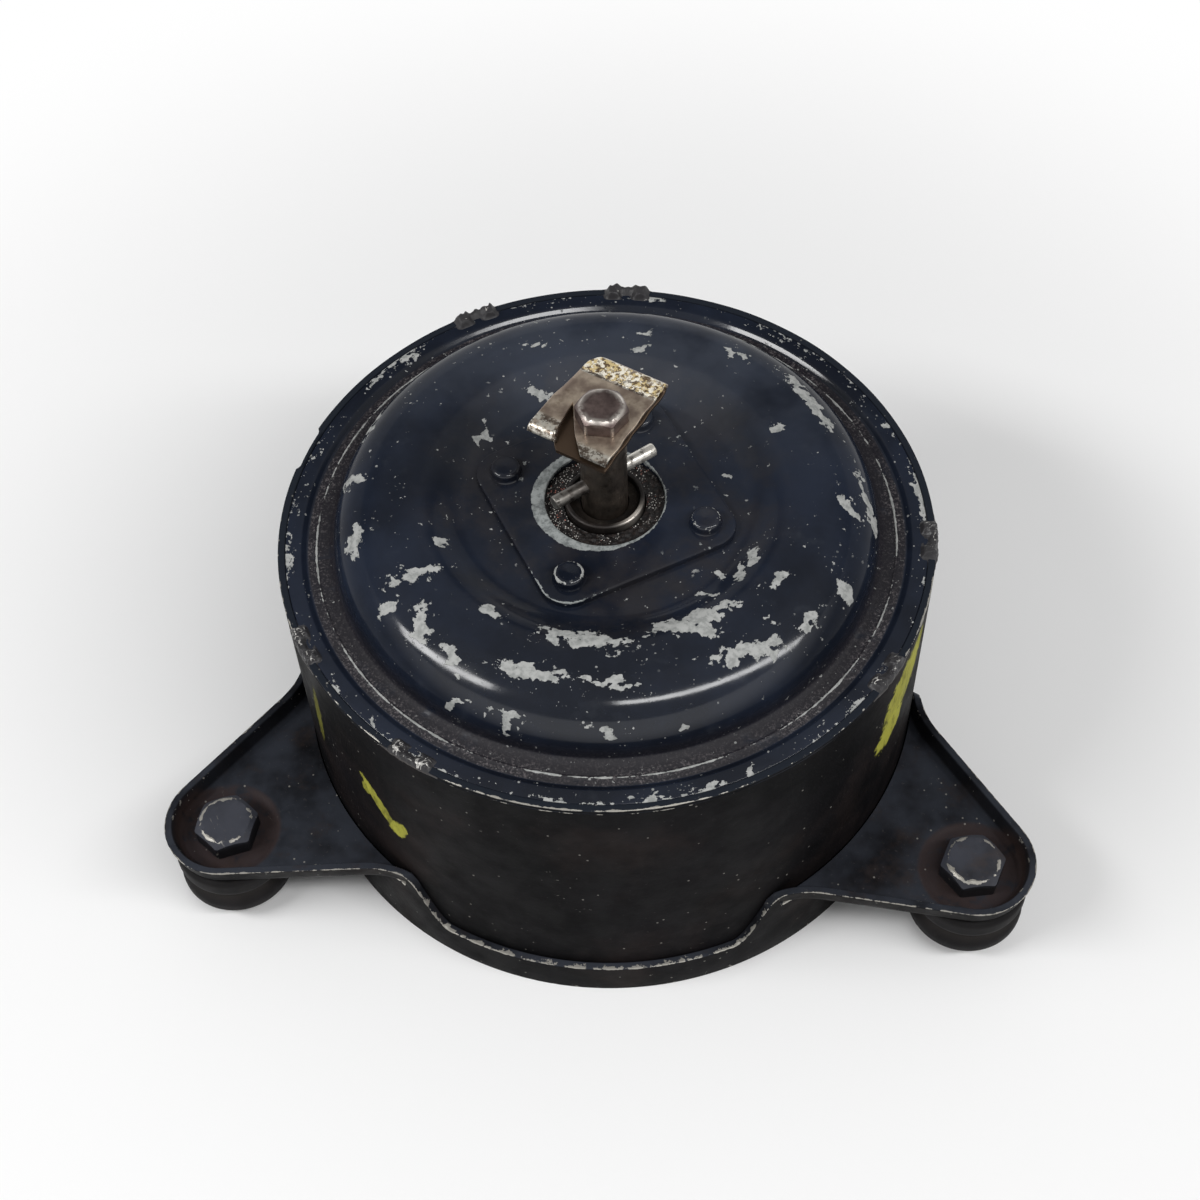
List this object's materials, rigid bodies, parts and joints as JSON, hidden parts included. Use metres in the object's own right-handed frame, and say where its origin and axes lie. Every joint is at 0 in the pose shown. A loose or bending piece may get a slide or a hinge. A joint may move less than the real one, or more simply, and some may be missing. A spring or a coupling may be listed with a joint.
{
  "type": "radiator fan motor",
  "caption": "Radiator fan motor: a steel drum with a domed front cover, a three-eared bracket on rubber mounts and a fan clip bolted to the shaft",
  "frame": {"origin": "the centre of the drum's flat base, on the shaft's axis", "axes": "+Z runs along the shaft towards the fan; one of the three ears points along +Y, so the overall width lies along X"},
  "size_m": [0.1978, 0.1859, 0.1174],
  "materials": {
    "cover_paint": "dark blue-grey gloss enamel with primer showing at chips",
    "drum_paint": "black satin enamel, specked and faded brown",
    "bracket_paint": "black satin enamel, dusty in its corners",
    "dark_steel": "bare steel gone brown with old oil",
    "bright_steel": "clean drawn steel",
    "zinc_gold": "spring steel with mottled yellow zinc plating",
    "sintered_bronze": "oil-soaked sintered bronze",
    "copper": "enamelled copper wire and bare copper bars",
    "brass_sheet": "dull brass sheet",
    "ferrite": "matt grey sintered magnet",
    "laminations": "stacked sheet edges with a skin of varnish",
    "carbon": "matt carbon",
    "felt": "oiled wool felt",
    "phenolic": "brown laminated board and moulding",
    "nylon": "cream moulded nylon",
    "black_rubber": "matt black rubber with a dusty bloom"
  },
  "bodies": {
    "motor_case": {"drum": "drum_paint", "front_cover": "cover_paint", "mounting_bracket": "bracket_paint", "bearing_plate": "cover_paint", "cover_rivets": "cover_paint", "front_bush": "sintered_bronze", "front_bush_retainer": "dark_steel", "front_oil_felt": "felt", "dust_felt": "felt", "rear_bush": "sintered_bronze", "rear_bush_retainer": "bright_steel", "rear_oil_felt": "felt", "thrust_pad": "nylon", "field_magnets": "ferrite", "brush_plate": "phenolic", "brush_plate_posts": "bright_steel", "brush_boxes": "brass_sheet", "brush_spring_1": "bright_steel", "brush_spring_2": "bright_steel", "brush_spring_3": "bright_steel", "brush_spring_4": "bright_steel", "lead_grommet": "black_rubber", "ear_bolts": "dark_steel", "rubber_mounts": "black_rubber", "mount_upper_inserts": "bright_steel", "mount_lower_inserts": "bright_steel"},
    "rotor": {"shaft": "dark_steel", "cross_pin": "dark_steel", "fan_clip": "zinc_gold", "clip_bolt": "dark_steel", "armature_core": "laminations", "armature_winding": "copper", "commutator": "copper", "commutator_hub": "phenolic", "thrust_washers": "nylon"},
    "brush_a": {"brush_1": "carbon"},
    "brush_b": {"brush_2": "carbon"},
    "brush_c": {"brush_3": "carbon"},
    "brush_d": {"brush_4": "carbon"}
  },
  "joints": [
    {"name": "rotor_turn", "type": "hinge", "parent": "motor_case", "child": "rotor", "pos_m": [0, 0, 0], "axis": [0, 0, 1], "continuous": true},
    {"name": "brush_slide_1", "type": "slide", "parent": "motor_case", "child": "brush_a", "axis": [1, 0, 0], "range_m": [0, 0.0025], "stiffness_N_per_m": 100, "springref_m": -0.005, "deforming": ["brush_spring_1"]},
    {"name": "brush_slide_2", "type": "slide", "parent": "motor_case", "child": "brush_b", "axis": [0, 1, 0], "range_m": [0, 0.0025], "stiffness_N_per_m": 100, "springref_m": -0.005, "deforming": ["brush_spring_2"]},
    {"name": "brush_slide_3", "type": "slide", "parent": "motor_case", "child": "brush_c", "axis": [-1, 0, 0], "range_m": [0, 0.0025], "stiffness_N_per_m": 100, "springref_m": -0.005, "deforming": ["brush_spring_3"]},
    {"name": "brush_slide_4", "type": "slide", "parent": "motor_case", "child": "brush_d", "axis": [0, -1, 0], "range_m": [0, 0.0025], "stiffness_N_per_m": 100, "springref_m": -0.005, "deforming": ["brush_spring_4"]}
  ]
}
